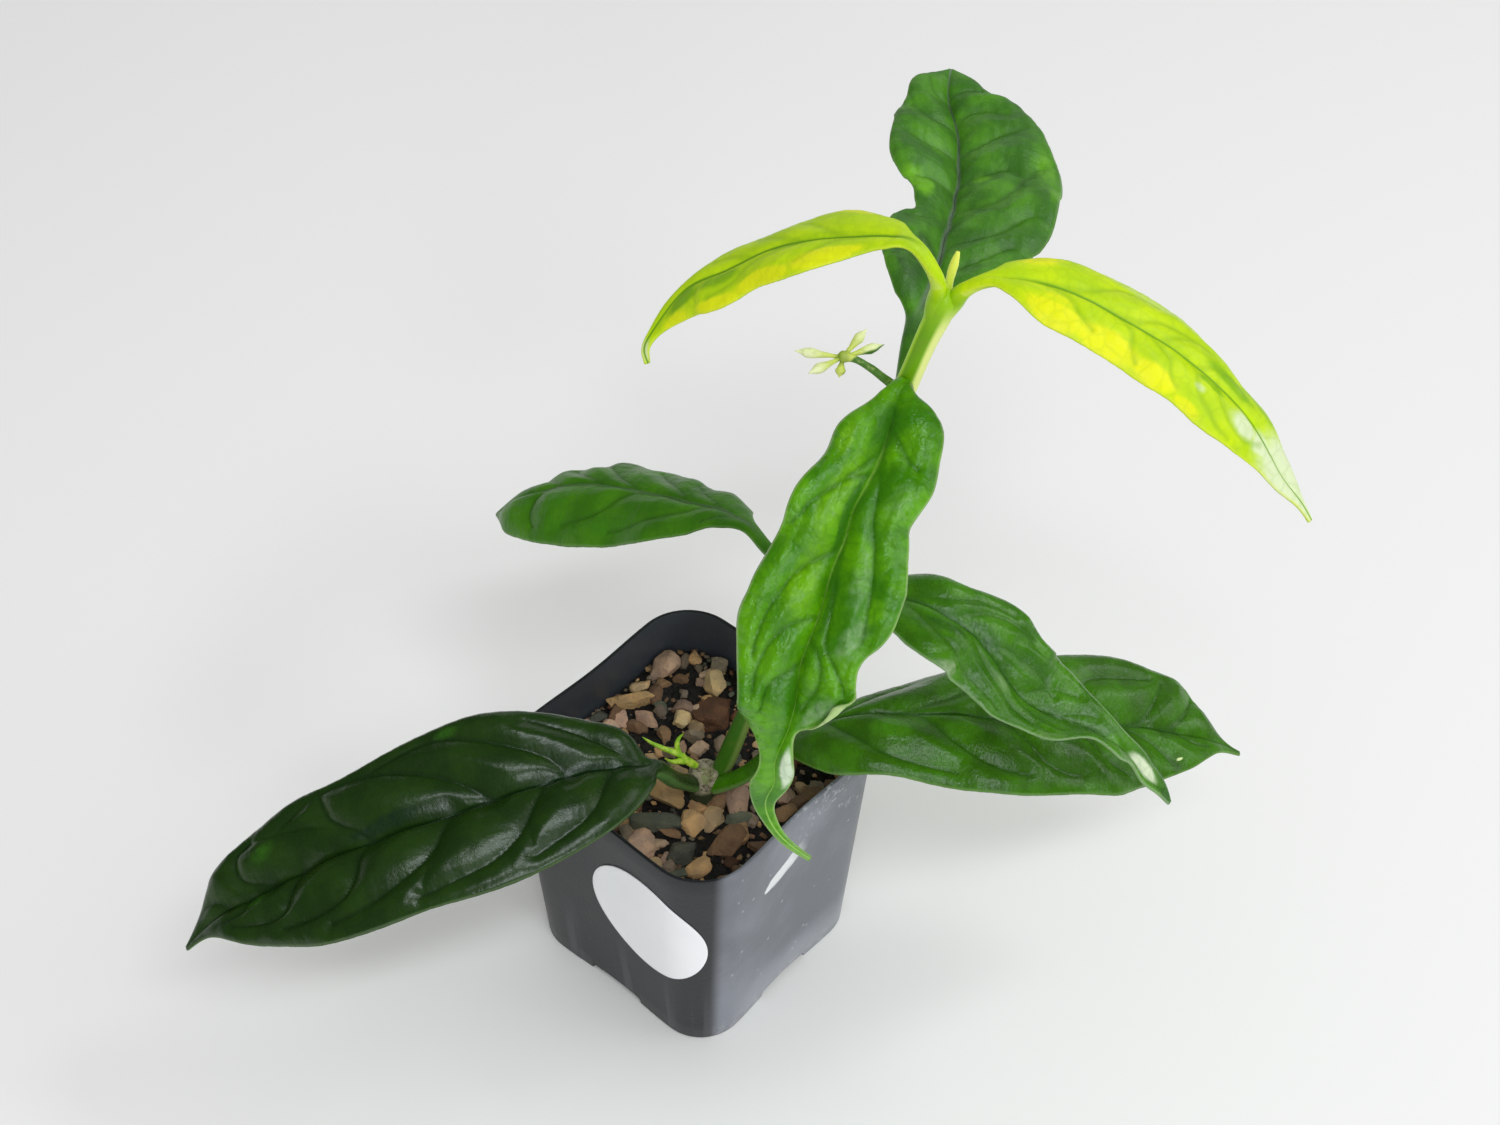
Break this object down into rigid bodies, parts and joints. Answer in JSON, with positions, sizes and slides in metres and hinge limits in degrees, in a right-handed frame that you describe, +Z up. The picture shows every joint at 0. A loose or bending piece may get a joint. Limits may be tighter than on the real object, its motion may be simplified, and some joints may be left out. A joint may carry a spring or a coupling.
{
  "type": "potted hoya",
  "caption": "Young hoya with paired waxy leaves on one leaning stem, rooted in growing mix with small stones in a square nursery pot with a round label.",
  "frame": {"origin": "middle of the underside of the pot, on the plane it stands on", "axes": "+Z up; the pot's four sides face along X and Y; the label is on the -Y side and wraps the corner towards +X"},
  "size_m": [0.1821, 0.2268, 0.2001],
  "materials": {
    "pot_plastic": "satin, recycled-looking charcoal",
    "label_paper": "matt coated paper",
    "growing_mix": "damp, crumbly, with dull stones",
    "stem": "satin",
    "leaf_dark": "glossy",
    "leaf_green": "glossy",
    "leaf_bright": "glossy",
    "leaf_young": "satin",
    "flower_stalk": "matt",
    "side_shoots": "satin",
    "tip_bud": "satin"
  },
  "bodies": {
    "root": {"pot": "pot_plastic", "label": "label_paper", "growing_mix": "growing_mix", "stem": "stem", "leaf_low_left": "leaf_dark", "leaf_low_right": "leaf_dark", "leaf_mid_left": "leaf_green", "leaf_mid_right": "leaf_green", "leaf_front": "leaf_bright", "leaf_back": "leaf_green", "leaf_young_left": "leaf_young", "leaf_young_right": "leaf_young", "flower_stalk": "flower_stalk", "side_shoots": "side_shoots", "tip_bud": "tip_bud"}
  },
  "joints": []
}
